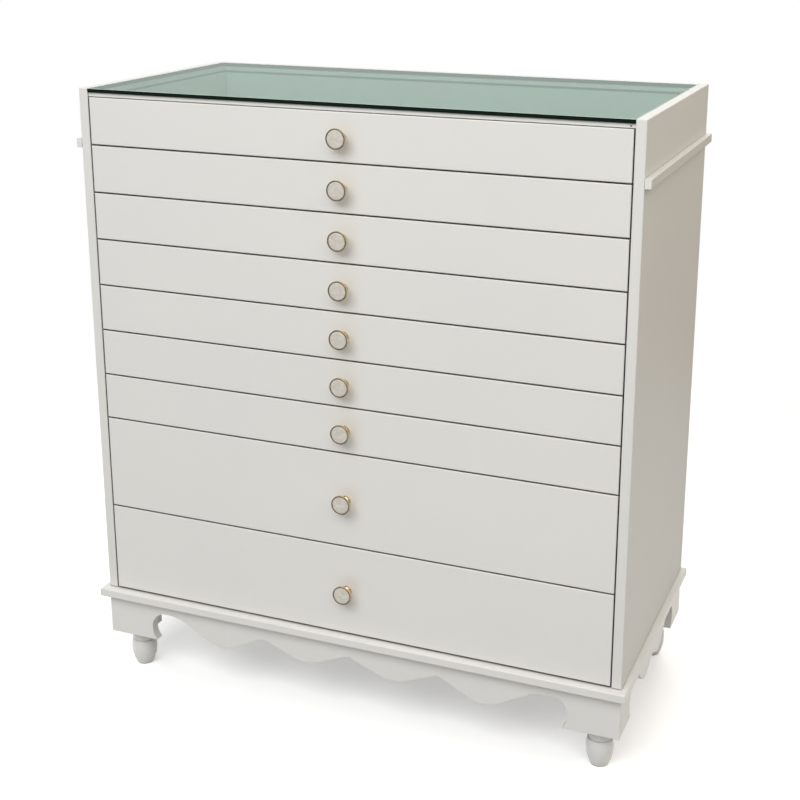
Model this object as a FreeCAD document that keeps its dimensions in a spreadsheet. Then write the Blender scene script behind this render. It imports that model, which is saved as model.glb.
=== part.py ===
import FreeCAD, Part
import math
import os
import re

import Sketcher
from FreeCAD import Vector

# Jewelry cabinet with nine drawers under a glass top, in millimetres.
# X runs to the right, Y to the back and Z up from the floor. The origin is
# under the middle of the whole piece of furniture.

SIZES = {
    # carcass
    "body_width": 870,
    "body_depth": 424,
    "panel_thick": 15,
    "panel_arris": 0.8,
    "back_rail_thick": 15,
    "back_rail_height": 70,
    "back_panel_thick": 5,
    "back_panel_set": 5,
    "back_groove_depth": 6,
    "groove_play": 0.3,
    # strips that run along the outside of the side panels
    "trim_drop": 77,
    "trim_height": 13.7,
    "trim_thick": 9.5,
    "trim_arris": 0.8,
    # glass top and what it lies on
    "glass_thick": 6,
    "glass_play": 0.5,
    "glass_arris": 0.5,
    "rail_height": 6.3,
    "rail_depth": 18,
    "rail_set_back": 3,
    "rail_gap": 1,
    "ledge_height": 6,
    "ledge_width": 10,
    # base board and the apron frame under it
    "base_thick": 14,
    "base_side_reach": 9.5,
    "base_front_reach": 14,
    "base_arris": 2,
    "apron_height": 68.4,
    "apron_thick": 15,
    "back_apron_height": 48,
    # scalloped lower edge of the aprons
    "end_width": 87,
    "side_end_width": 68,
    "cove_undercut": 7.4,
    "cove_lip": 10,
    "cove_rise": 49.4,
    "cove_run": 49.7,
    "cove_lip_radius": 30,
    "cove_radius": 26,
    "cove_shoulder_radius": 74,
    "lobe_crest": 43.2,
    "inner_lobe_low": 12.2,
    "outer_lobe_low": 4,
    "outer_lobe_shift": 5.7,
    "inner_lobe_radius": 62,
    "outer_lobe_radius": 50,
    "crest_radius": 12,
    "side_lobe_crest": 30,
    "side_lobe_low": 7,
    "side_lobe_radius": 38,
    "side_shoulder_radius": 32,
    # turned feet with a square block that fills the corner of the frame
    "foot_height": 67.6,
    "foot_inset": 37,
    "foot_block": 44,
    "foot_collar_radius": 19,
    "foot_collar_height": 21,
    "foot_neck_radius": 17.8,
    "foot_neck_height": 2.4,
    "foot_shoulder_radius": 20,
    "foot_tip_radius": 14.2,
    "foot_belly_radius": 70,
    "foot_arris": 1.5,
    # drawer fronts
    "shallow_height": 71.1,
    "deep_height": 150.1,
    "lowest_height": 145.1,
    "front_thick": 15,
    "front_arris": 1,
    "drawer_gap": 2.2,
    "side_gap": 2,
    # drawer boxes
    "box_board": 12,
    "box_side_gap": 5,
    "box_back_gap": 7,
    "box_rise": 6,
    "box_drop": 2,
    "bottom_thick": 4,
    "bottom_rise": 8,
    "bottom_groove": 5,
    "bottom_play": 0.4,
    # hardwood runners that the drawers slide on
    "runner_height": 9,
    "runner_groove_depth": 6,
    "runner_play": 0.3,
    # padded lining and dividers in the drawers
    "liner_thick": 3,
    "liner_play": 1,
    "divider_thick": 6,
    "divider_height": 20,
    # knobs: a brass cup on a stem, with an inlay
    "knob_radius": 15,
    "knob_reach": 20,
    "knob_disc_thick": 4,
    "knob_rim": 1.8,
    "knob_recess": 2,
    "knob_stem_radius": 5,
    "knob_flange_radius": 8,
    "knob_flange_thick": 2,
    "inlay_play": 0.1,
    "inlay_thick": 2,
}

# The fronts from the top of the cabinet down, by the size that is their height.
SHALLOW_DRAWERS = 7
FRONTS = ["shallow_height"] * SHALLOW_DRAWERS + ["deep_height", "lowest_height"]

# Drawers below the glass one and above the deep ones have dividers.
DIVIDED = range(2, SHALLOW_DRAWERS + 1)
DIVIDED_BAYS = 3

WORKED_OUT = {
    "front_y": "-(body_depth - max(knob_reach; base_front_reach)) / 2",
    "half_width": "body_width / 2",
    "inside_x": "half_width - panel_thick",
    "base_under": "foot_height + apron_height",
    "base_top": "base_under + base_thick",
    "rail_under": "base_top + stack_height + rail_gap",
    "stack_height": " + ".join(f"{height} + drawer_gap" for height in FRONTS),
    "glass_under": "rail_under + rail_height",
    "top_z": "glass_under + glass_thick",
    "panel_height": "top_z - base_top",
    "back_rail_y": "body_depth - back_rail_thick",
    "back_panel_y": "back_rail_y + back_panel_set",
    "back_groove": "back_panel_thick + groove_play",
    "back_panel_height": "panel_height - back_rail_height + back_groove_depth - groove_play",
    "front_width": "2 * (inside_x - side_gap)",
    "box_outer_x": "inside_x - box_side_gap",
    "box_inner_x": "box_outer_x - box_board",
    "box_end_y": "back_rail_y - box_back_gap",
    "box_length": "box_end_y - front_thick",
    "liner_front_y": "front_thick + box_board + liner_play",
    "liner_length": "box_end_y - box_board - liner_play - liner_front_y",
    "liner_half": "box_inner_x - liner_play",
    "runner_reach": "box_side_gap + runner_groove_depth - groove_play",
    "inlay_radius": "knob_radius - knob_rim - inlay_play",
    "recess_y": "-(knob_reach - knob_recess)",
    "disc_y": "-(knob_reach - knob_disc_thick)",
}

doc = FreeCAD.newDocument("jewelry_cabinet")
sheet = doc.addObject("Spreadsheet::Sheet", "Sizes")
for row, (name, size) in enumerate(SIZES.items(), 1):
    sheet.set(f"A{row}", name)
    sheet.set(f"B{row}", str(size))
    sheet.setAlias(f"B{row}", name)
doc.recompute()

nodes = {}


def formula(text):
    """Spells out the names in a formula as cells of the sheet."""
    def spell(found):
        word = found.group()
        if word in WORKED_OUT:
            return "(" + formula(WORKED_OUT[word]) + ")"
        return "Sizes." + word if word in SIZES else word
    return re.sub(r"[a-z_]+", spell, text)


def value(text):
    """What a formula comes to, in millimetres."""
    return float(doc.Sizes.evalExpression(formula(text)))


def tie(thing, place, text):
    """Binds one property to a formula in the sheet's names."""
    thing.setExpression(place, formula(text))


def put(thing, place):
    """Binds where a piece stands to three formulas."""
    for axis, text in zip("xyz", place):
        tie(thing, "Placement.Base." + axis, text)


def name_node(label, thing):
    """Gives a finished piece the name that it goes by."""
    thing.Label = label
    nodes[label] = thing


def board(size, place):
    """A plain board, from its size and its lowest corner."""
    piece = doc.addObject("Part::Box", "board")
    for side, text in zip(("Length", "Width", "Height"), size):
        tie(piece, side, text)
    put(piece, place)
    return piece


def group(label, pieces):
    """Several solids that go by one name."""
    bundle = doc.addObject("Part::Compound", "group")
    bundle.Links = pieces
    name_node(label, bundle)


def new_body(place):
    """An empty body that stands at three formulas."""
    body = doc.addObject("PartDesign::Body", "piece")
    put(body, place)
    return body


def new_sketch(body, plane):
    """An empty sketch on one of the body's own planes."""
    sketch = body.newObject("Sketcher::SketchObject", "sketch")
    support = next(f for f in body.Origin.OriginFeatures if f.Role == plane)
    sketch.AttachmentSupport = (support, [""])
    sketch.MapMode = "FlatFace"
    return sketch


def hold(sketch, kind, where, text):
    """Adds one constraint and binds it to a formula."""
    row = sketch.addConstraint(Sketcher.Constraint(kind, *where, value(text)))
    tie(sketch, f"Constraints[{row}]", text)


def arc_between(start, end, radius):
    """An arc that bulges to the right of the way from start to end."""
    chord = end - start
    half = chord.Length / 2
    out = Vector(chord.y, -chord.x, 0).normalize()
    sagitta = radius - math.sqrt(radius ** 2 - half ** 2)
    return Part.Arc(start, start + chord / 2 + out * sagitta, end)


def outline(body, plane, corners):
    """A closed outline. A corner with a third formula starts an arc of that radius."""
    sketch = new_sketch(body, plane)
    points = [Vector(value(corner[0]), value(corner[1]), 0) for corner in corners]
    following = points[1:] + points[:1]
    ends = []
    for corner, start, end in zip(corners, points, following):
        if len(corner) == 3:
            sketch.addGeometry(arc_between(start, end, value(corner[2])), False)
            first = sketch.Geometry[-1].value(sketch.Geometry[-1].FirstParameter)
            ends.append((1, 2) if first.distanceToPoint(start) < 0.001 else (2, 1))
        else:
            sketch.addGeometry(Part.LineSegment(start, end), False)
            ends.append((1, 2))
    for row, corner in enumerate(corners):
        after = (row + 1) % len(corners)
        join = Sketcher.Constraint("Coincident", row, ends[row][1], after, ends[after][0])
        sketch.addConstraint(join)
        hold(sketch, "DistanceX", (-1, 1, row, ends[row][0]), corner[0])
        hold(sketch, "DistanceY", (-1, 1, row, ends[row][0]), corner[1])
        if len(corner) == 3:
            hold(sketch, "Radius", (row,), corner[2])
    return sketch


def rectangle(left, low, right, high):
    """The corners of an upright rectangle."""
    return [(left, low), (right, low), (right, high), (left, high)]


def pad(body, sketch, length):
    """Thickens an outline towards the back, the right or the top."""
    solid = body.newObject("PartDesign::Pad", "pad")
    solid.Profile = sketch
    solid.Reversed = sketch.AttachmentSupport[0][0].Role == "XZ_Plane"
    tie(solid, "Length", length)
    doc.recompute()
    return solid


def revolve(body, sketch, axis="V_Axis"):
    """Turns an outline round its upright axis."""
    solid = body.newObject("PartDesign::Revolution", "turned")
    solid.Profile = sketch
    solid.ReferenceAxis = (sketch, [axis])
    solid.Angle = 360
    doc.recompute()
    return solid


def ease(body, kind, size, wanted):
    """Rounds or bevels the edges that a test picks, kind is Fillet or Chamfer."""
    solid = body.Tip
    edges = enumerate(solid.Shape.Edges, 1)
    picked = [f"Edge{number}" for number, edge in edges if wanted(edge)]
    eased = body.newObject(f"PartDesign::{kind}", "eased")
    eased.Base = (solid, picked)
    tie(eased, "Radius" if kind == "Fillet" else "Size", size)
    doc.recompute()


def on_plane(edge, axis, level):
    """Whether an edge lies in the plane at a level along an axis."""
    tolerance = 0.001
    return all(abs(getattr(v.Point, axis) - level) < tolerance for v in edge.Vertexes)


def upright_at(edge, axis, first, second):
    """Whether an edge runs along an axis through a point of the other two."""
    others = [name for name in "xyz" if name != axis]
    return on_plane(edge, others[0], first) and on_plane(edge, others[1], second)


def round_corners(body, along, corners):
    """Rounds corners of an outline. Each has two formulas and its radius."""
    for first, second, radius in corners:
        spot = (value(first), value(second))
        ease(body, "Fillet", radius, lambda edge: upright_at(edge, along, *spot))


# Carcass


def side_panel(label, side):
    """A side board with a groove for the back, side is -1 for left and 1 for right."""
    body = new_body((f"{side} * half_width", "front_y", "base_top"))
    face = f"{-side} * panel_thick"
    depth = f"{-side} * (panel_thick - back_groove_depth)"
    pad(body, outline(body, "XY_Plane", rectangle("0", "0", face, "body_depth")), "panel_height")
    top = value("panel_height")
    ease(body, "Chamfer", "panel_arris", lambda edge: on_plane(edge, "y", 0)
         or on_plane(edge, "z", top))
    groove = rectangle(depth, "back_panel_y", face, "back_panel_y + back_groove")
    pocket = body.newObject("PartDesign::Pocket", "groove")
    pocket.Profile = outline(body, "XY_Plane", groove)
    pocket.Reversed = True
    tie(pocket, "Length", "back_panel_height + groove_play")
    name_node(label, body)


def back_panel():
    """The thin back, in the grooves of the side panels and of the back rail."""
    reach = "inside_x + back_groove_depth - groove_play"
    size = (f"2 * ({reach})", "back_panel_thick", "back_panel_height")
    place = (f"-({reach})", "front_y + back_panel_y", "base_top")
    name_node("back_panel", board(size, place))


def back_rail():
    """The thick board behind the glass, grooved below for the back."""
    body = new_body(("-inside_x", "front_y + back_rail_y", "top_z - back_rail_height"))
    groove_end = "back_panel_set + back_groove"
    corners = [
        ("0", "0"),
        ("back_panel_set", "0"),
        ("back_panel_set", "back_groove_depth"),
        (groove_end, "back_groove_depth"),
        (groove_end, "0"),
        ("back_rail_thick", "0"),
        ("back_rail_thick", "back_rail_height"),
        ("0", "back_rail_height"),
    ]
    pad(body, outline(body, "YZ_Plane", corners), "2 * inside_x")
    name_node("back_rail", body)


def trim_strips():
    """The two strips along the outside of the side panels."""
    strips = []
    for side in (-1, 1):
        low = "top_z - trim_drop - trim_height"
        body = new_body((f"{side} * half_width", "front_y", low))
        corners = rectangle("0", "0", f"{side} * trim_thick", "trim_height")
        pad(body, outline(body, "XZ_Plane", corners), "body_depth")
        face = side * value("trim_thick")
        ease(body, "Chamfer", "trim_arris", lambda edge: on_plane(edge, "x", face))
        strips.append(body)
    group("trim_strips", strips)


side_panel("side_panel_left", -1)
side_panel("side_panel_right", 1)
back_panel()
back_rail()
trim_strips()

# Glass top, the rail in front of it and the ledges round it


def top_rail():
    """The slim rail over the first drawer, a little behind the fronts."""
    size = ("2 * inside_x", "rail_depth", "rail_height")
    place = ("-inside_x", "front_y + rail_set_back", "rail_under")
    name_node("top_rail", board(size, place))


def glass_ledges():
    """Strips under the glass on both side panels and on the back rail."""
    start = "rail_set_back + rail_depth"
    low = "glass_under - ledge_height"
    size = ("ledge_width", f"back_rail_y - ({start})", "ledge_height")
    left = board(size, ("-inside_x", f"front_y + {start}", low))
    right = board(size, ("inside_x - ledge_width", f"front_y + {start}", low))
    size = ("2 * (inside_x - ledge_width)", "ledge_width", "ledge_height")
    place = ("-(inside_x - ledge_width)", "front_y + back_rail_y - ledge_width", low)
    group("glass_ledges", [left, right, board(size, place)])


def glass_top():
    """The glass plate, level with the side panels and the back rail."""
    body = new_body(("0", "front_y", "glass_under"))
    reach = "inside_x - glass_play"
    corners = rectangle(f"-({reach})", "0", reach, "back_rail_y - glass_play")
    pad(body, outline(body, "XY_Plane", corners), "glass_thick")
    top = value("glass_thick")
    ease(body, "Chamfer", "glass_arris", lambda edge: on_plane(edge, "z", top))
    name_node("glass_top", body)


top_rail()
glass_ledges()
glass_top()

# Base board and the frame of aprons under it


def base_board():
    """The board that the carcass stands on, wider than it at the sides and front."""
    body = new_body(("0", "front_y", "base_under"))
    reach = "half_width + base_side_reach"
    corners = rectangle(f"-({reach})", "-base_front_reach", reach, "body_depth")
    pad(body, outline(body, "XY_Plane", corners), "base_thick")
    back = value("body_depth")
    top = value("base_thick")
    ease(body, "Fillet", "base_arris", lambda edge: not on_plane(edge, "y", back)
         and (on_plane(edge, "z", 0) or on_plane(edge, "z", top)))
    name_node("base_board", body)


def cove(middle, edge, side):
    """The cove beside an apron's end: its corners, and the radii that round them.

    middle is the centre of the apron, edge the distance from it to the end's inner
    edge, and side is -1 or 1.
    """
    wall = f"{middle} + {side} * ({edge} + cove_undercut)"
    shoulder = f"{middle} + {side} * ({edge} + cove_undercut - cove_run)"
    return [
        (f"{middle} + {side} * ({edge})", "0"),
        (wall, "cove_lip"),
        (wall, "cove_rise"),
        (shoulder, "cove_rise"),
    ]


def apron(label, plane, middle, half, edge, lobes, shoulder_radius, place):
    """A board whose lower edge swings between two coves.

    half is half its length and edge how far the coves start from its middle. Each
    lobe corner is a distance from the middle, a height and a radius.
    """
    body = new_body(place)
    right = cove(middle, edge, 1)
    left = cove(middle, edge, -1)
    waves = [(f"{middle} + {reach}", height, radius) for reach, height, radius in lobes]
    corners = [(f"{middle} - ({half[0]})", "0")]
    corners += left + [wave[:2] for wave in waves] + right[::-1]
    corners += [
        (f"{middle} + {half[1]}", "0"),
        (f"{middle} + {half[1]}", "apron_height"),
        (f"{middle} - ({half[0]})", "apron_height"),
    ]
    pad(body, outline(body, plane, corners), "apron_thick")
    along = "y" if plane == "XZ_Plane" else "x"
    radii = ("cove_lip_radius", "cove_radius", shoulder_radius)
    for side in (left, right):
        bends = [(*corner, radius) for corner, radius in zip(side[1:], radii)]
        round_corners(body, along, bends)
    round_corners(body, along, waves)
    name_node(label, body)


def front_apron():
    """Four lobes between the coves: two outer and two inner ones."""
    edge = "half_width - end_width"
    pitch = f"(({edge} + cove_undercut - cove_run - outer_lobe_shift) / 2)"
    inner = ("inner_lobe_low", "inner_lobe_radius")
    outer = ("outer_lobe_low", "outer_lobe_radius")
    crest = ("lobe_crest", "crest_radius")
    lobes = [(f"-1.5 * {pitch}", *outer), (f"-{pitch}", *crest), (f"-0.5 * {pitch}", *inner)]
    lobes += [("0", *crest)]
    lobes += [(f"0.5 * {pitch}", *inner), (f"{pitch}", *crest), (f"1.5 * {pitch}", *outer)]
    half = ("half_width", "half_width")
    place = ("0", "front_y", "foot_height")
    apron("apron_front", "XZ_Plane", "0", half, edge, lobes, "cove_shoulder_radius", place)


def side_apron(label, side):
    """Two lobes between the coves, side is -1 for left and 1 for right."""
    middle = "body_depth / 2"
    edge = f"{middle} - side_end_width"
    low = f"(({edge} + cove_undercut - cove_run) / 2)"
    lobe = ("side_lobe_low", "side_lobe_radius")
    lobes = [(f"-{low}", *lobe), ("0", "side_lobe_crest", "crest_radius"), (low, *lobe)]
    half = (f"{middle} - apron_thick", middle)
    outer = "half_width - apron_thick" if side > 0 else "-half_width"
    place = (outer, "front_y", "foot_height")
    apron(label, "YZ_Plane", middle, half, edge, lobes, "side_shoulder_radius", place)


def back_apron():
    """A plain board between the side aprons."""
    size = ("2 * (half_width - apron_thick)", "apron_thick", "back_apron_height")
    low = "base_under - back_apron_height"
    place = ("-(half_width - apron_thick)", "front_y + body_depth - apron_thick", low)
    name_node("apron_back", board(size, place))


def block_span(outward):
    """From where to where a foot's block reaches, outward is -1 or 1."""
    near = "(foot_inset - apron_thick)"
    far = f"(foot_block - {near})"
    return (f"-{near}", far) if outward < 0 else (f"-{far}", near)


def foot(side, depth):
    """A turned foot under its square block. side and depth are -1 or 1 for its corner."""
    x = f"{side} * (half_width - foot_inset)"
    corner_y = "foot_inset" if depth < 0 else "body_depth - foot_inset"
    body = new_body((x, f"front_y + {corner_y}", "0"))
    left, right = block_span(side)
    low, high = block_span(depth)
    block_sketch = outline(body, "XY_Plane", rectangle(left, low, right, high))
    tie(block_sketch, "AttachmentOffset.Base.z", "foot_height")
    pad(body, block_sketch, "apron_height")
    collar_low = "foot_height - foot_collar_height"
    neck_low = f"{collar_low} - foot_neck_height"
    corners = [
        ("0", "0"),
        ("foot_tip_radius", "0", "foot_belly_radius"),
        ("foot_shoulder_radius", f"{neck_low} - foot_arris"),
        ("foot_shoulder_radius - foot_arris", neck_low),
        ("foot_neck_radius", neck_low),
        ("foot_neck_radius", collar_low),
        ("foot_collar_radius", collar_low),
        ("foot_collar_radius", "foot_height"),
        ("0", "foot_height"),
    ]
    revolve(body, outline(body, "XZ_Plane", corners))
    return body


base_board()
front_apron()
side_apron("apron_left", -1)
side_apron("apron_right", 1)
back_apron()
group("turned_feet", [foot(side, depth) for side in (-1, 1) for depth in (-1, 1)])

# Drawers


def front_base(number):
    """Height of the lower edge of a front: the lowest front is number nine."""
    below = [f"{height} + drawer_gap" for height in FRONTS[number:]]
    return " + ".join(["base_top + drawer_gap"] + below)


def box_height(number):
    """Height of a drawer's box behind its front."""
    return f"({FRONTS[number - 1]} - box_rise - box_drop)"


def drawer_front(number):
    """The painted front, bevelled round its face."""
    body = new_body(("0", "front_y", front_base(number)))
    height = FRONTS[number - 1]
    corners = rectangle("-front_width / 2", "0", "front_width / 2", height)
    pad(body, outline(body, "XZ_Plane", corners), "front_thick")
    ease(body, "Chamfer", "front_arris", lambda edge: on_plane(edge, "y", 0))
    name_node(f"drawer_{number}_front", body)


def box_side(number, side):
    """A side of the box, grooved outside for the runner and inside for the bottom."""
    height = box_height(number)
    place = (f"{side} * box_outer_x", "front_y + front_thick", f"{front_base(number)} + box_rise")
    body = new_body(place)
    inner = f"{-side} * box_board"
    runner_low = f"{height} / 2 - runner_height / 2 - runner_play"
    runner_high = f"{height} / 2 + runner_height / 2 + runner_play"
    runner_deep = f"{-side} * runner_groove_depth"
    bottom_high = "bottom_rise + bottom_thick + bottom_play"
    bottom_deep = f"{-side} * (box_board - bottom_groove)"
    corners = [
        ("0", "0"),
        (inner, "0"),
        (inner, "bottom_rise"),
        (bottom_deep, "bottom_rise"),
        (bottom_deep, bottom_high),
        (inner, bottom_high),
        (inner, height),
        ("0", height),
        ("0", runner_high),
        (runner_deep, runner_high),
        (runner_deep, runner_low),
        ("0", runner_low),
    ]
    pad(body, outline(body, "XZ_Plane", corners), "box_length")
    return body


def box_inner_front(number):
    """The board behind the painted front, between the sides."""
    place = ("0", "front_y + front_thick", f"{front_base(number)} + box_rise")
    body = new_body(place)
    bottom_high = "bottom_rise + bottom_thick + bottom_play"
    bottom_deep = "box_board - bottom_groove"
    corners = [
        ("0", "0"),
        ("box_board", "0"),
        ("box_board", "bottom_rise"),
        (bottom_deep, "bottom_rise"),
        (bottom_deep, bottom_high),
        ("box_board", bottom_high),
        ("box_board", box_height(number)),
        ("0", box_height(number)),
    ]
    sketch = outline(body, "YZ_Plane", corners)
    tie(sketch, "AttachmentOffset.Base.z", "-box_inner_x")
    pad(body, sketch, "2 * box_inner_x")
    return body


def drawer_box(number):
    """Two sides, an inner front, a back and a thin bottom."""
    low = f"{front_base(number)} + box_rise"
    floor = f"{low} + bottom_rise"
    reach = "(box_inner_x + bottom_groove - bottom_play)"
    start = "(front_thick + box_board - bottom_groove + bottom_play)"
    size = (f"2 * {reach}", f"box_end_y - {start}", "bottom_thick")
    bottom = board(size, (f"-{reach}", f"front_y + {start}", floor))
    back_low = f"{floor} + bottom_thick"
    size = ("2 * box_inner_x", "box_board", f"{box_height(number)} - bottom_rise - bottom_thick")
    back = board(size, ("-box_inner_x", "front_y + box_end_y - box_board", back_low))
    sides = [box_side(number, -1), box_side(number, 1)]
    group(f"drawer_{number}_box", [*sides, box_inner_front(number), back, bottom])


def drawer_liner(number):
    """The padded mat on the bottom, with dividers in the shallow drawers."""
    low = f"{front_base(number)} + box_rise + bottom_rise + bottom_thick"
    place = ("-liner_half", "front_y + liner_front_y", low)
    pieces = [board(("2 * liner_half", "liner_length", "liner_thick"), place)]
    if number in DIVIDED:
        for bay in range(1, DIVIDED_BAYS):
            share = f"(2 * {bay} / {DIVIDED_BAYS} - 1)"
            x = f"liner_half * {share} - divider_thick / 2"
            place = (x, "front_y + liner_front_y", f"{low} + liner_thick")
            pieces.append(board(("divider_thick", "liner_length", "divider_height"), place))
    group(f"drawer_{number}_liner", pieces)


def knob_place(number):
    """The middle of a front."""
    return ("0", "front_y", f"{front_base(number)} + {FRONTS[number - 1]} / 2")


def knob(number):
    """The turned brass: a flange, a stem and a thin cup."""
    body = new_body(knob_place(number))
    corners = [
        ("0", "recess_y"),
        ("knob_radius - knob_rim", "recess_y"),
        ("knob_radius - knob_rim", "-knob_reach"),
        ("knob_radius", "-knob_reach"),
        ("knob_radius", "disc_y"),
        ("knob_stem_radius", "disc_y"),
        ("knob_stem_radius", "-knob_flange_thick"),
        ("knob_flange_radius", "-knob_flange_thick"),
        ("knob_flange_radius", "0"),
        ("0", "0"),
    ]
    revolve(body, outline(body, "XY_Plane", corners))
    name_node(f"drawer_{number}_knob", body)


def knob_inlay(number):
    """The disc in the cup, level with its rim."""
    body = new_body(knob_place(number))
    face = "recess_y - inlay_thick"
    corners = rectangle("0", face, "inlay_radius", "recess_y")
    revolve(body, outline(body, "XY_Plane", corners))
    name_node(f"drawer_{number}_knob_inlay", body)


def runner(number, side):
    """A strip on a side panel, whose end stops the drawer's front."""
    height = box_height(number)
    low = f"{front_base(number)} + box_rise + {height} / 2 - runner_height / 2"
    start = "(front_thick + runner_play)"
    size = ("runner_reach", f"box_end_y - {start}", "runner_height")
    x = "inside_x - runner_reach" if side > 0 else "-inside_x"
    return board(size, (x, f"front_y + {start}", low))


for number in range(1, len(FRONTS) + 1):
    drawer_front(number)
    drawer_box(number)
    drawer_liner(number)
    knob(number)
    knob_inlay(number)

strips = [runner(number, side) for number in range(1, len(FRONTS) + 1) for side in (-1, 1)]
group("drawer_runners", strips)

doc.recompute()

for thing in doc.Objects:
    if {"Invalid", "Error"} & set(thing.State):
        raise RuntimeError(f"{thing.Label} did not build: {thing.State}")
for label, thing in nodes.items():
    if thing.Shape.isNull() or not thing.Shape.isValid() or thing.Label != label:
        raise RuntimeError(f"{label} has no valid shape of that name")

os.makedirs("parts", exist_ok=True)
for label, thing in nodes.items():
    thing.Shape.exportStep(f"parts/{label}.step")
print(f"{len(nodes)} nodes written")
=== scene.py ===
import math

import bmesh
import bpy
from mathutils import Matrix, Vector


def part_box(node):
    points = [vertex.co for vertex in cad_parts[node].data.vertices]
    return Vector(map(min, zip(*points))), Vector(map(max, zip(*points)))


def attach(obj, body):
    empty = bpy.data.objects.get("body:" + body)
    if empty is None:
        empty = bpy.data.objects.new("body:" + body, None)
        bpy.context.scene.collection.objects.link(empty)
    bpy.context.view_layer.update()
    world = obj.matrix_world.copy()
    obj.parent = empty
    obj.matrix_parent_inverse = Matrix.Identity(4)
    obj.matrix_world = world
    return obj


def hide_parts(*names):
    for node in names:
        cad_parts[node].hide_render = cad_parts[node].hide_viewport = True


# Jewelry cabinet with nine drawers under a glass top, in metres. X runs to the
# right, Y to the back and Z up from the floor.

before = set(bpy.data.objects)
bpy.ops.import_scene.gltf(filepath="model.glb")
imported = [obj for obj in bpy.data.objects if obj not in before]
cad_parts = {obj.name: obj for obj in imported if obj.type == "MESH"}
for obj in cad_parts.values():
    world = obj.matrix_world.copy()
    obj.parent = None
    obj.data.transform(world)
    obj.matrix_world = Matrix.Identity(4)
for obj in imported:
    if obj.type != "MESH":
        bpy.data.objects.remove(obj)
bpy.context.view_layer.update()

MM = 0.001

# The drawers' numbers from the top down, and those with dividers.
DRAWERS = range(1, 10)
DIVIDED = range(2, 8)

# Meshes: edges sharper than this stay sharp, and roundings have this many facets.
SHARP_ANGLE = math.radians(38)
TURNED_STEPS = 96
ROUNDING_STEPS = 6

# The drawers' knobs: the brass rim, what it holds and what carries it.
RIM_WIDTH = 1.8 * MM
RIM_EASE = 0.7 * MM
CUP_THICK = 4 * MM
STEM_RADIUS = 5 * MM
STEM_FLARE = 3 * MM
FLANGE_RADIUS = 8 * MM
FLANGE_THICK = 2 * MM
NACRE_BEVEL = 0.8 * MM
NACRE_DOME = 0.25 * MM
DOME_STEPS = 10

# Screws that hold the knobs from inside the drawers, on the boxes' inner fronts.
SCREW_RADIUS = 4.5 * MM
SCREW_HEIGHT = 2.2 * MM
SOCKET_RADIUS = 2 * MM
SOCKET_DEPTH = 1.4 * MM
BOX_WALL = 12 * MM

# The pin in the rail under the glass, with a domed head.
PIN_RADIUS = 1.4 * MM
PIN_HEIGHT = 0.6 * MM
PIN_INSET = 7 * MM
PIN_DOME = (0, 30, 60)

# Padded lining of the drawers: a mat, and dividers between bays of equal width.
MAT_THICK = 3 * MM
MAT_EASE = 1.4 * MM
MAT_CELL = 24 * MM
BAYS = 3
DIVIDER_THICK = 6 * MM
DIVIDER_EASE = 2.6 * MM
DIVIDER_CELL = 6 * MM
ROLL_STOPS = (0, 0.12, 0.35, 0.65)


# Materials


class Value:
    """A number or colour that varies over a surface, to calculate with."""

    def __init__(self, finish, socket):
        self.finish = finish
        self.socket = socket

    def math(self, operation, *numbers):
        sockets = dict(enumerate(numbers))
        return self.finish.node("Math", {"operation": operation}, sockets)

    def __add__(self, other):
        return self.math("ADD", self, other)

    def __radd__(self, other):
        return self.math("ADD", other, self)

    def __sub__(self, other):
        return self.math("SUBTRACT", self, other)

    def __rsub__(self, other):
        return self.math("SUBTRACT", other, self)

    def __mul__(self, other):
        return self.math("MULTIPLY", self, other)

    def __rmul__(self, other):
        return self.math("MULTIPLY", other, self)

    def size(self):
        return self.math("ABSOLUTE", self)

    def over(self, level):
        return self.math("GREATER_THAN", self, level)

    def spread(self, low, high):
        """Brings the stretch from low to high onto 0 to 1, and stops there."""
        sockets = {"Value": self, "From Min": low, "From Max": high}
        return self.finish.node("MapRange", {"clamp": True}, sockets)


class Finish:
    """The nodes of a material or of the world, put together one by one."""

    def __init__(self, owner):
        self.owner = owner
        owner.use_nodes = True
        self.tree = owner.node_tree
        self.tree.nodes.clear()

    def node(self, kind, settings=None, sockets=None, output=0):
        """Adds a node. Settings come first, then values or links for its sockets."""
        made = self.tree.nodes.new("ShaderNode" + kind)
        for name, setting in (settings or {}).items():
            setattr(made, name, setting)
        for name, content in (sockets or {}).items():
            if isinstance(content, Value):
                self.tree.links.new(content.socket, made.inputs[name])
            else:
                made.inputs[name].default_value = content
        return Value(self, made.outputs[output]) if made.outputs else None

    def place(self):
        """Where a point lies on the piece, in metres."""
        return self.node("TexCoord", output="Object")

    def stretched(self, vector, scale):
        return self.node("Mapping", {}, {"Vector": vector, "Scale": scale})

    def noise(self, vector, scale, detail=2, roughness=0.5):
        sockets = {"Vector": vector, "Scale": scale, "Detail": detail, "Roughness": roughness}
        return self.node("TexNoise", {}, sockets)

    def blend(self, share, first, second):
        """A colour between two colours."""
        sockets = {0: share, 6: first, 7: second}
        return self.node("Mix", {"data_type": "RGBA"}, sockets, output=2)

    def bump(self, height, depth, normal=None):
        """Relief that is depth metres deep where height goes from 0 to 1."""
        sockets = {"Height": height, "Distance": depth, "Strength": 1}
        if normal:
            sockets["Normal"] = normal
        return self.node("Bump", {}, sockets)

    def eased_edges(self, radius):
        """Shading that rounds the sharp edges of boards."""
        return self.node("Bevel", {"samples": 4}, {"Radius": radius})

    def show(self, shader):
        """Sets a shader as the material's own."""
        self.node("OutputMaterial", {}, {"Surface": shader})
        return self.owner

    def surface(self, sockets):
        """Sets the shader that most finishes need as the material's own."""
        return self.show(self.node("BsdfPrincipled", {}, sockets))


def new_finish(name):
    return Finish(bpy.data.materials.new(name))


def colour(red, green, blue):
    return (red, green, blue, 1)


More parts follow.
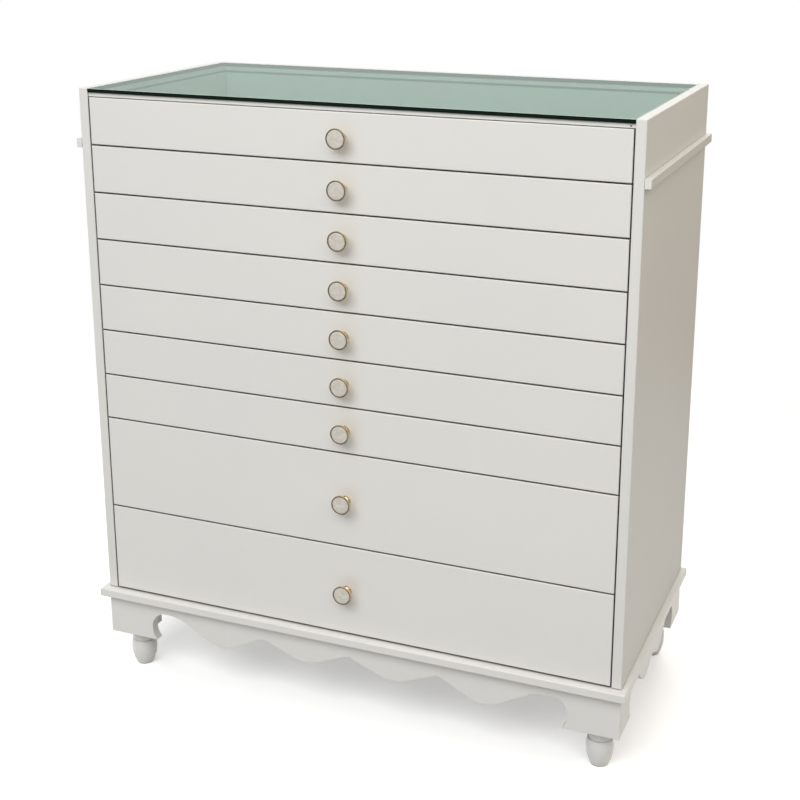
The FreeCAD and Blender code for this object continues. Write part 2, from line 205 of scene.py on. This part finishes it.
# Two tones of each paint, the edges of its boards, and the painted shade its colour
# falls off to in gaps: the reach of the look around, and the free shares of a closed and open gap.
WHITES = colour(0.80, 0.79, 0.755), colour(0.775, 0.768, 0.742)
INSIDE_WHITES = colour(0.74, 0.73, 0.69), colour(0.68, 0.67, 0.63)
ARRIS = 1.2 * MM
GAP_SHADE = colour(0.02, 0.019, 0.018)
LEDGE_SHADE = colour(0.52, 0.52, 0.50)
GAP_REACH = 7 * MM
GAP_CLOSED = 0.15
GAP_OPEN = 0.45


def lacquer(name, first, second, roughness, coat=0.1, level=0.5, shade=GAP_SHADE):
    """Sprayed paint on board: faint clouds of tone and a fine orange peel.

    In gaps a few millimetres wide its colour falls off to a painted shade.
    """
    finish = new_finish(name)
    place = finish.place()
    clouds = finish.noise(place, scale=3.5, detail=3)
    fine = finish.noise(place, scale=60, detail=4, roughness=0.6)
    peel = finish.noise(place, scale=260)
    paint = finish.blend((clouds * 0.8 + fine * 0.2).spread(0.3, 0.7), first, second)
    # Painted shade: where little of the surroundings within reach is open, the colour goes to the
    # shade.
    free = finish.node("AmbientOcclusion", {"samples": 4}, {"Distance": GAP_REACH}, output="AO")
    tone = finish.blend(free.spread(GAP_CLOSED, GAP_OPEN), shade, paint)
    eased = finish.eased_edges(ARRIS)
    return finish.surface({
        "Base Color": tone,
        "Roughness": roughness + (fine - 0.5) * 0.05,
        "Specular IOR Level": level,
        "Coat Weight": coat,
        "Coat Roughness": 0.12,
        "Normal": finish.bump(peel, 0.004 * MM, eased),
    })


def hardwood():
    """Straight-grained beech along the runners."""
    finish = new_finish("oiled_beech")
    place = finish.place()
    grain = finish.noise(finish.stretched(place, (1, 0.03, 1)), scale=420, detail=5, roughness=0.65)
    flecks = finish.noise(finish.stretched(place, (1, 0.12, 1)), scale=1500)
    wave = finish.noise(finish.stretched(place, (1, 0.15, 1)), scale=24)
    share = (grain * 0.6 + wave * 0.4).spread(0.35, 0.68)
    pale = finish.blend(share, colour(0.62, 0.40, 0.22), colour(0.40, 0.22, 0.11))
    tone = finish.blend(flecks.over(0.66) * 0.45, pale, colour(0.22, 0.11, 0.05))
    return finish.surface({
        "Base Color": tone,
        "Roughness": 0.42 + grain * 0.2,
        "Normal": finish.bump(grain, 0.08 * MM),
    })


def plate_glass():
    """Clear plate glass with a green cast and dark polished edges.

    It reflects where light enters it, and lets all of it out again. Faces that lie
    flat are clear, sloping ones are the ground arris, and upright ones the edge.
    """
    lying, sloping = 0.9, 0.4
    finish = new_finish("plate_glass")
    normal = finish.node("NewGeometry", output="True Normal")
    facing_up = finish.node("SeparateXYZ", {}, {"Vector": normal}, output="Z").size()
    leaving = finish.node("NewGeometry", output="Backfacing")
    gloss = finish.node("Fresnel", {}, {"IOR": 1.52}) * (1 - leaving)
    through = finish.node("BsdfTransparent", {}, {"Color": colour(0.748, 0.836, 0.816)})
    shine = finish.node("BsdfGlossy", {}, {"Color": colour(0.55, 0.64, 0.60), "Roughness": 0.03})
    sheet = finish.node("MixShader", {}, {0: gloss, 1: through, 2: shine})
    edge = finish.node("BsdfPrincipled", {}, {
        "Base Color": colour(0.001, 0.006, 0.004),
        "Roughness": 0.12,
        "Specular IOR Level": 0.1,
    })
    arris = finish.node("BsdfPrincipled", {}, {
        "Base Color": colour(0.46, 0.62, 0.54),
        "Roughness": 0.3,
    })
    rim = finish.node("MixShader", {}, {0: facing_up.over(sloping), 1: edge, 2: arris})
    return finish.show(finish.node("MixShader", {}, {0: facing_up.over(lying), 1: rim, 2: sheet}))


def brass(name, pale, dark):
    """Turned brass with fine tool rings and a little tarnish."""
    finish = new_finish(name)
    place = finish.place()
    tarnish = finish.noise(place, scale=260, detail=3, roughness=0.6)
    rings = finish.noise(finish.stretched(place, (1, 12, 1)), scale=900)
    tone = finish.blend(tarnish.spread(0.4, 0.7), pale, dark)
    return finish.surface({
        "Base Color": tone,
        "Metallic": 1,
        "Roughness": 0.16 + tarnish * 0.14,
        "Normal": finish.bump(rings, 0.01 * MM),
    })


def nacre():
    """Mother-of-pearl: soft bands of cream and grey with a hint of rose and green."""
    finish = new_finish("mother_of_pearl")
    place = finish.place()
    shift = finish.noise(place, scale=60, detail=3)
    moved = finish.node("VectorMath", {"operation": "ADD"}, {0: place, 1: shift * 0.02})
    bands = finish.noise(finish.stretched(moved, (1, 0.4, 1.8)), scale=95, detail=4, roughness=0.55)
    rose = finish.noise(moved, scale=170)
    green = finish.noise(finish.stretched(moved, (1.4, 1, 1)), scale=130)
    base = finish.blend(bands.spread(0.35, 0.65),
                        colour(0.57, 0.53, 0.46), colour(0.67, 0.63, 0.565))
    warm = finish.blend(rose.spread(0.52, 0.7) * 0.25, base, colour(0.66, 0.54, 0.50))
    tone = finish.blend(green.spread(0.55, 0.72) * 0.2, warm, colour(0.50, 0.58, 0.50))
    return finish.surface({
        "Base Color": tone,
        "Roughness": 0.22 + bands * 0.1,
        "Coat Weight": 0.6,
        "Coat Roughness": 0.06,
        "Normal": finish.bump(bands, 0.03 * MM),
    })


def velvet():
    """Short ivory pile, brushed this way and that."""
    finish = new_finish("ivory_velvet")
    place = finish.place()
    pile = finish.noise(place, scale=2600)
    brushed = finish.noise(finish.stretched(place, (1, 0.5, 1)), scale=22, detail=3)
    tone = finish.blend((brushed * 0.7 + pile * 0.3).spread(0.28, 0.72),
                        colour(0.66, 0.60, 0.51), colour(0.76, 0.71, 0.62))
    return finish.surface({
        "Base Color": tone,
        "Roughness": 0.92,
        "Sheen Weight": 0.6,
        "Sheen Roughness": 0.4,
        "Normal": finish.bump(pile, 0.25 * MM),
    })


def steel():
    """Zinc-plated screw steel."""
    finish = new_finish("zinc_plated_steel")
    stain = finish.noise(finish.place(), scale=700, detail=3)
    tone = finish.blend(stain, colour(0.56, 0.57, 0.58), colour(0.38, 0.38, 0.37))
    return finish.surface({"Base Color": tone, "Metallic": 1, "Roughness": 0.25 + stain * 0.2})


front_paint = lacquer("white_lacquer_fronts", *WHITES, roughness=0.36)
case_paint = lacquer("white_lacquer_case", *WHITES, roughness=0.34)
# On the ledges and the rail under the glass the look around is closed, so the painted shade there
# is a mid grey, a slightly darker band rather than black.
ledge_paint = lacquer("white_lacquer_ledges", *WHITES, roughness=0.34, shade=LEDGE_SHADE)
side_paint = lacquer("white_lacquer_sides", *WHITES, roughness=0.5, coat=0, level=0.2)
foot_paint = lacquer("white_lacquer_feet", *WHITES, roughness=0.16, coat=0.6)
inside_paint = lacquer("white_paint_inside", *INSIDE_WHITES, roughness=0.5)
beech = hardwood()
glass = plate_glass()
bright_brass = brass("bright_brass", colour(0.78, 0.64, 0.40), colour(0.52, 0.38, 0.20))
# A dark copy of the brass: on the front face of the knobs' rims it is a painted dark reflection, in
# place of the dark surroundings the rims reflect; the rail's pin gets it as well.
brass_painted_dark = brass("brass_painted_dark", colour(0.17, 0.145, 0.11), colour(0.09, 0.075, 0.055))
pearl = nacre()
pile = velvet()
zinc = steel()


# The carcass, the fronts and the boxes keep their solids and get their finish here


def dress(node, material):
    """Gives a carried-over node its finish."""
    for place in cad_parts[node].material_slots:
        place.material = material


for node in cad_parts:
    if node.endswith("_front"):
        dress(node, front_paint)
    elif node.endswith("_box") or node == "back_panel":
        dress(node, inside_paint)
    elif node == "drawer_runners":
        dress(node, beech)
    elif node == "glass_top":
        dress(node, glass)
    elif node in ("glass_ledges", "top_rail"):
        dress(node, ledge_paint)
    elif node.startswith("side_panel"):
        dress(node, side_paint)
    elif node == "turned_feet":
        dress(node, foot_paint)
    else:
        dress(node, case_paint)


# Pieces of the scene


def mesh_object(name, bm, materials):
    """A finished mesh as an object."""
    bmesh.ops.recalc_face_normals(bm, faces=bm.faces)
    data = bpy.data.meshes.new(name)
    bm.to_mesh(data)
    bm.free()
    for material in materials:
        data.materials.append(material)
    for face in data.polygons:
        face.use_smooth = True
    data.set_sharp_from_angle(angle=SHARP_ANGLE)
    thing = bpy.data.objects.new(name, data)
    bpy.context.scene.collection.objects.link(thing)
    return thing


def rounded(centre, radius, start, end):
    """Points of a rounding, as (radius from the axis, height) pairs."""
    points = []
    for step in range(ROUNDING_STEPS + 1):
        angle = math.radians(start + (end - start) * step / ROUNDING_STEPS)
        x = centre[0] + radius * math.cos(angle)
        points.append((x, centre[1] + radius * math.sin(angle)))
    return points


def turned(name, profile, place, materials, painted_dark_over=None, hexagon=()):
    """Turns a profile round an axis that points to the front.

    The profile's heights run forward from place. Faces whose whole height lies over
    painted_dark_over get the second material, a dark copy that paints in a dark
    reflection, and the rings that hexagon lists are pulled to six flat sides.
    """
    bm = bmesh.new()
    rings = []
    for row, (radius, height) in enumerate(profile):
        ring = []
        for step in range(TURNED_STEPS):
            angle = 2 * math.pi * step / TURNED_STEPS
            reach = radius
            if row in hexagon:
                turn = (angle + math.pi / 6) % (math.pi / 3) - math.pi / 6
                reach = radius / math.cos(turn)
            spot = Vector((reach * math.cos(angle), -height, reach * math.sin(angle)))
            ring.append(bm.verts.new(place + spot))
        rings.append(ring)
    for row, (near, far) in enumerate(zip(rings, rings[1:])):
        for step in range(TURNED_STEPS):
            after = (step + 1) % TURNED_STEPS
            face = bm.faces.new((near[step], near[after], far[after], far[step]))
            if painted_dark_over and min(profile[row][1], profile[row + 1][1]) > painted_dark_over:
                face.material_index = 1
    bm.faces.new(rings[0])
    bm.faces.new(rings[-1])
    return mesh_object(name, bm, materials)


def knob(number):
    """The brass of a knob: a flange, a flared stem and a cup with an eased rim.

    The bed is how far before the drawer's front the pearl lies in the cup.
    """
    low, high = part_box(f"drawer_{number}_knob")
    inlay_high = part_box(f"drawer_{number}_knob_inlay")[1]
    middle = (Vector(low) + Vector(high)) / 2
    place = Vector((middle.x, high[1], middle.z))
    radius = (high[0] - low[0]) / 2
    reach = high[1] - low[1]
    bed = high[1] - inlay_high[1]
    disc = reach - CUP_THICK
    profile = [(FLANGE_RADIUS - RIM_EASE, 0)]
    profile += rounded((FLANGE_RADIUS - RIM_EASE, RIM_EASE), RIM_EASE, -90, 0)
    profile += rounded((FLANGE_RADIUS - RIM_EASE, FLANGE_THICK - RIM_EASE), RIM_EASE, 0, 90)
    profile += rounded((STEM_RADIUS + STEM_FLARE, FLANGE_THICK + STEM_FLARE), STEM_FLARE, 270, 180)
    profile += rounded((STEM_RADIUS + STEM_FLARE, disc - STEM_FLARE), STEM_FLARE, 180, 90)
    profile += rounded((radius - RIM_EASE, disc + RIM_EASE), RIM_EASE, -90, 0)
    profile += rounded((radius - RIM_EASE, reach - RIM_EASE), RIM_EASE, 0, 90)
    inner = radius - RIM_WIDTH
    profile += rounded((inner + RIM_EASE / 2, reach - RIM_EASE / 2), RIM_EASE / 2, 90, 180)
    profile += [(inner, bed)]
    # The rim's front face gets the dark copy of the brass, a painted dark reflection in place of
    # the surroundings it would reflect.
    cup = turned(f"drawer_{number}_brass_knob", profile, place, [bright_brass, brass_painted_dark],
                 painted_dark_over=reach - RIM_EASE)
    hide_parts(f"drawer_{number}_knob")
    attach(cup, f"drawer_{number}")


def knob_inlay(number):
    """The pearl in the cup, bevelled round its edge and a little domed."""
    low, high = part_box(f"drawer_{number}_knob_inlay")
    middle = (Vector(low) + Vector(high)) / 2
    place = Vector((middle.x, high[1], middle.z))
    radius = (high[0] - low[0]) / 2
    thick = high[1] - low[1]
    flat = radius - NACRE_BEVEL
    profile = [(radius, 0), (radius, thick - NACRE_BEVEL - NACRE_DOME)]
    profile += [(radius - NACRE_BEVEL / 4, thick - NACRE_BEVEL / 2 - NACRE_DOME)]
    for step in range(DOME_STEPS):
        share = 1 - step / DOME_STEPS
        profile.append((flat * share, thick - NACRE_DOME * share ** 2))
    inlay = turned(f"drawer_{number}_pearl", profile, place, [pearl])
    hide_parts(f"drawer_{number}_knob_inlay")
    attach(inlay, f"drawer_{number}")


def knob_screw(number):
    """The screw that holds a knob from behind, its head inside the drawer."""
    low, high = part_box(f"drawer_{number}_knob")
    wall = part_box(f"drawer_{number}_box")[0][1] + BOX_WALL
    place = Vector(((low[0] + high[0]) / 2, wall, (low[2] + high[2]) / 2))
    ease = SCREW_HEIGHT / 2
    head = [(SCREW_RADIUS, 0)]
    head += rounded((SCREW_RADIUS - ease, SCREW_HEIGHT - ease), ease, 0, 90)
    first = len(head)
    head += [(SOCKET_RADIUS, SCREW_HEIGHT), (SOCKET_RADIUS, SCREW_HEIGHT - SOCKET_DEPTH)]
    backward = [(radius, -height) for radius, height in head]
    screw = turned(f"drawer_{number}_knob_screw", backward, place, [zinc],
                   hexagon=(first, first + 1))
    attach(screw, f"drawer_{number}")


def rail_pin():
    """The low round head of the dark pin at the right end of the rail under the glass."""
    low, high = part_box("top_rail")
    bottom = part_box("drawer_1_front")[1][2]
    place = Vector((high[0] - PIN_INSET, low[1], (bottom + high[2]) / 2))
    profile = []
    for degrees in PIN_DOME:
        turn = math.radians(degrees)
        profile.append((PIN_RADIUS * math.cos(turn), PIN_HEIGHT * math.sin(turn)))
    head = turned("rail_pin", profile, place, [brass_painted_dark])
    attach(head, "cabinet")


def soft_block(bm, low, high, ease, cell):
    """Adds a padded block: a fine grid whose edges roll over."""
    size = high - low

    def stops(length):
        """Where the grid's lines lie along one side, closer together at its ends."""
        count = max(2, round(length / cell))
        inner = [ease + (length - 2 * ease) * step / count for step in range(count + 1)]
        edge = [ease * share for share in ROLL_STOPS]
        return edge + inner + [length - reach for reach in reversed(edge)]

    xs, ys = stops(size.x), stops(size.y)

    def drop(x, y):
        """How far the top sinks near the edges."""
        fall = 0
        for spot, length in ((x, size.x), (y, size.y)):
            inside = min(spot, length - spot, ease) / ease
            fall = max(fall, 1 - math.sqrt(max(0, 1 - (1 - inside) ** 2)))
        return ease * fall

    top = [[bm.verts.new(low + Vector((x, y, size.z - drop(x, y)))) for y in ys] for x in xs]
    for i in range(len(xs) - 1):
        for j in range(len(ys) - 1):
            bm.faces.new((top[i][j], top[i + 1][j], top[i + 1][j + 1], top[i][j + 1]))
    loop = [top[i][0] for i in range(len(xs))]
    loop += [top[-1][j] for j in range(1, len(ys))]
    loop += [top[i][-1] for i in range(len(xs) - 2, -1, -1)]
    loop += [top[0][j] for j in range(len(ys) - 2, 0, -1)]
    foot = [bm.verts.new((vert.co.x, vert.co.y, low.z)) for vert in loop]
    for i in range(len(loop)):
        after = (i + 1) % len(loop)
        bm.faces.new((loop[after], loop[i], foot[i], foot[after]))
    bm.faces.new(foot)


def lining(number):
    """The velvet mat on a drawer's bottom, with padded dividers in the shallow drawers."""
    node = f"drawer_{number}_liner"
    low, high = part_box(node)
    low, high = Vector(low), Vector(high)
    mat_top = low.z + MAT_THICK
    bm = bmesh.new()
    soft_block(bm, low, Vector((high.x, high.y, mat_top)), MAT_EASE, MAT_CELL)
    if number in DIVIDED:
        for bay in range(1, BAYS):
            middle = low.x + (high.x - low.x) * bay / BAYS
            start = Vector((middle - DIVIDER_THICK / 2, low.y, mat_top))
            end = Vector((middle + DIVIDER_THICK / 2, high.y, high.z))
            soft_block(bm, start, end, DIVIDER_EASE, DIVIDER_CELL)
    pad = mesh_object(f"drawer_{number}_velvet", bm, [pile])
    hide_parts(node)
    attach(pad, f"drawer_{number}")


for number in DRAWERS:
    knob(number)
    knob_inlay(number)
    knob_screw(number)
    lining(number)

rail_pin()


# Camera, floor and light


def camera():
    """The photograph's viewpoint."""
    data = bpy.data.cameras.new("camera")
    data.sensor_width = 36
    data.lens = 62.56
    data.shift_x = -0.03
    data.shift_y = -0.125
    data.clip_end = 200
    yaw, pitch, roll = math.radians(-21.616), math.radians(15.547), math.radians(0.169)
    forward = Vector((math.sin(yaw) * math.cos(pitch), math.cos(yaw) * math.cos(pitch),
                      -math.sin(pitch)))
    level = Vector((math.cos(yaw), -math.sin(yaw), 0))
    upward = level.cross(forward)
    right = math.cos(roll) * level + math.sin(roll) * upward
    above = math.cos(roll) * upward - math.sin(roll) * level
    turn = Matrix((right, above, -forward)).transposed()
    thing = bpy.data.objects.new("camera", data)
    place = Vector((0.8257, -1.9666, 1.2311))
    thing.matrix_world = Matrix.Translation(place) @ turn.to_4x4()
    bpy.context.scene.collection.objects.link(thing)
    bpy.context.scene.camera = thing


def seen(finish):
    """1 for rays that show the background: from the camera, a gloss or through glass."""
    camera_ray = finish.node("LightPath", output="Is Camera Ray")
    gloss_ray = finish.node("LightPath", output="Is Glossy Ray")
    glass_ray = finish.node("LightPath", output="Is Transmission Ray")
    return (camera_ray + gloss_ray + glass_ray).spread(0, 1)


def floor():
    """A pale floor that is white away from the cabinet's shadow."""
    edge = 60
    shadow_end, white_start = 0.8, 1.75
    bm = bmesh.new()
    corners = [(-edge, -edge), (edge, -edge), (edge, edge), (-edge, edge)]
    bm.faces.new([bm.verts.new((x, y, 0)) for x, y in corners])
    finish = new_finish("pale_floor")
    spot = finish.node("NewGeometry", output="Position")
    away = finish.node("VectorMath", {"operation": "LENGTH"}, {0: spot}, output="Value")
    whiter = away.spread(shadow_end, white_start)
    matte = finish.node("BsdfDiffuse", {}, {"Color": colour(0.44, 0.438, 0.432)})
    catching = finish.node("BsdfDiffuse", {}, {"Color": colour(0.95, 0.95, 0.95)})
    glow = finish.node("Emission", {}, {"Color": colour(1, 1, 1), "Strength": 0.35})
    near = finish.node("AddShader", {}, {0: catching, 1: glow})
    white = finish.node("Emission", {}, {"Color": colour(1, 1, 1), "Strength": 1})
    shown = finish.node("MixShader", {}, {0: whiter, 1: near, 2: white})
    finish.show(finish.node("MixShader", {}, {0: seen(finish), 1: matte, 2: shown}))
    mesh_object("floor", bm, [finish.owner])


def surroundings():
    """Even grey light all round, in front of a white backdrop."""
    world = bpy.data.worlds.new("studio")
    bpy.context.scene.world = world
    finish = Finish(world)
    dim = finish.node("Background", {}, {"Color": colour(0.98, 0.99, 1), "Strength": 0.36})
    white = finish.node("Background", {}, {"Color": colour(1, 1, 1), "Strength": 1})
    mixed = finish.node("MixShader", {}, {0: seen(finish), 1: dim, 2: white})
    finish.node("OutputWorld", {}, {"Surface": mixed})


def screen():
    """A warm grey studio screen out of view, which the right side faces."""
    left, right, height = (0.3, 1.9), (3.6, 0.1), 0.95
    bm = bmesh.new()
    corners = [(*left, 0), (*right, 0), (*right, height), (*left, height)]
    bm.faces.new([bm.verts.new(corner) for corner in corners])
    finish = new_finish("warm_grey_screen")
    cloth = finish.noise(finish.place(), scale=3)
    tone = finish.blend(cloth, colour(0.46, 0.40, 0.30), colour(0.52, 0.45, 0.34))
    finish.surface({"Base Color": tone, "Roughness": 0.9})
    cloth_wall = mesh_object("screen", bm, [finish.owner])
    cloth_wall.visible_camera = False


def softbox(name, place, aim, width, height, watts, tint):
    """A rectangular lamp turned towards a point."""
    data = bpy.data.lights.new(name, "AREA")
    data.shape = "RECTANGLE"
    data.size = width
    data.size_y = height
    data.energy = watts
    data.color = tint
    thing = bpy.data.objects.new(name, data)
    thing.location = place
    towards = Vector(aim) - Vector(place)
    thing.rotation_euler = towards.to_track_quat("-Z", "Y").to_euler()
    bpy.context.scene.collection.objects.link(thing)
    return thing


camera()
floor()
surroundings()
screen()
softbox("key_lamp", place=(-0.25, -2.9, 3.2), aim=(0, 0, 0.9),
        width=3.2, height=2.2, watts=94, tint=(0.985, 0.988, 0.99))
softbox("right_lamp", place=(2.3, -2.6, 2.9), aim=(0, -0.2, 0.6),
        width=0.9, height=0.9, watts=13, tint=(1, 0.97, 0.93))
softbox("top_lamp", place=(0.2, 0.4, 3.4), aim=(0, 0, 0.5),
        width=2.6, height=2.2, watts=3, tint=(1, 0.99, 0.97))
softbox("side_lamp", place=(2.2, -0.6, 2.6), aim=(0.4, 0, 0.6),
        width=1.4, height=1.6, watts=14, tint=(1, 0.82, 0.6))
softbox("left_lamp", place=(-3.3, 0.4, 2.2), aim=(-0.4, 0, 0.5),
        width=1.6, height=1.6, watts=26, tint=(1, 0.99, 0.97))
back_lamp = softbox("back_lamp", place=(0.2, 3.4, 2.4), aim=(0, 0.2, 0.5),
                    width=2.4, height=1.8, watts=60, tint=(1, 0.99, 0.97))
back_lamp.visible_glossy = False

bpy.context.scene.view_settings.view_transform = "Standard"
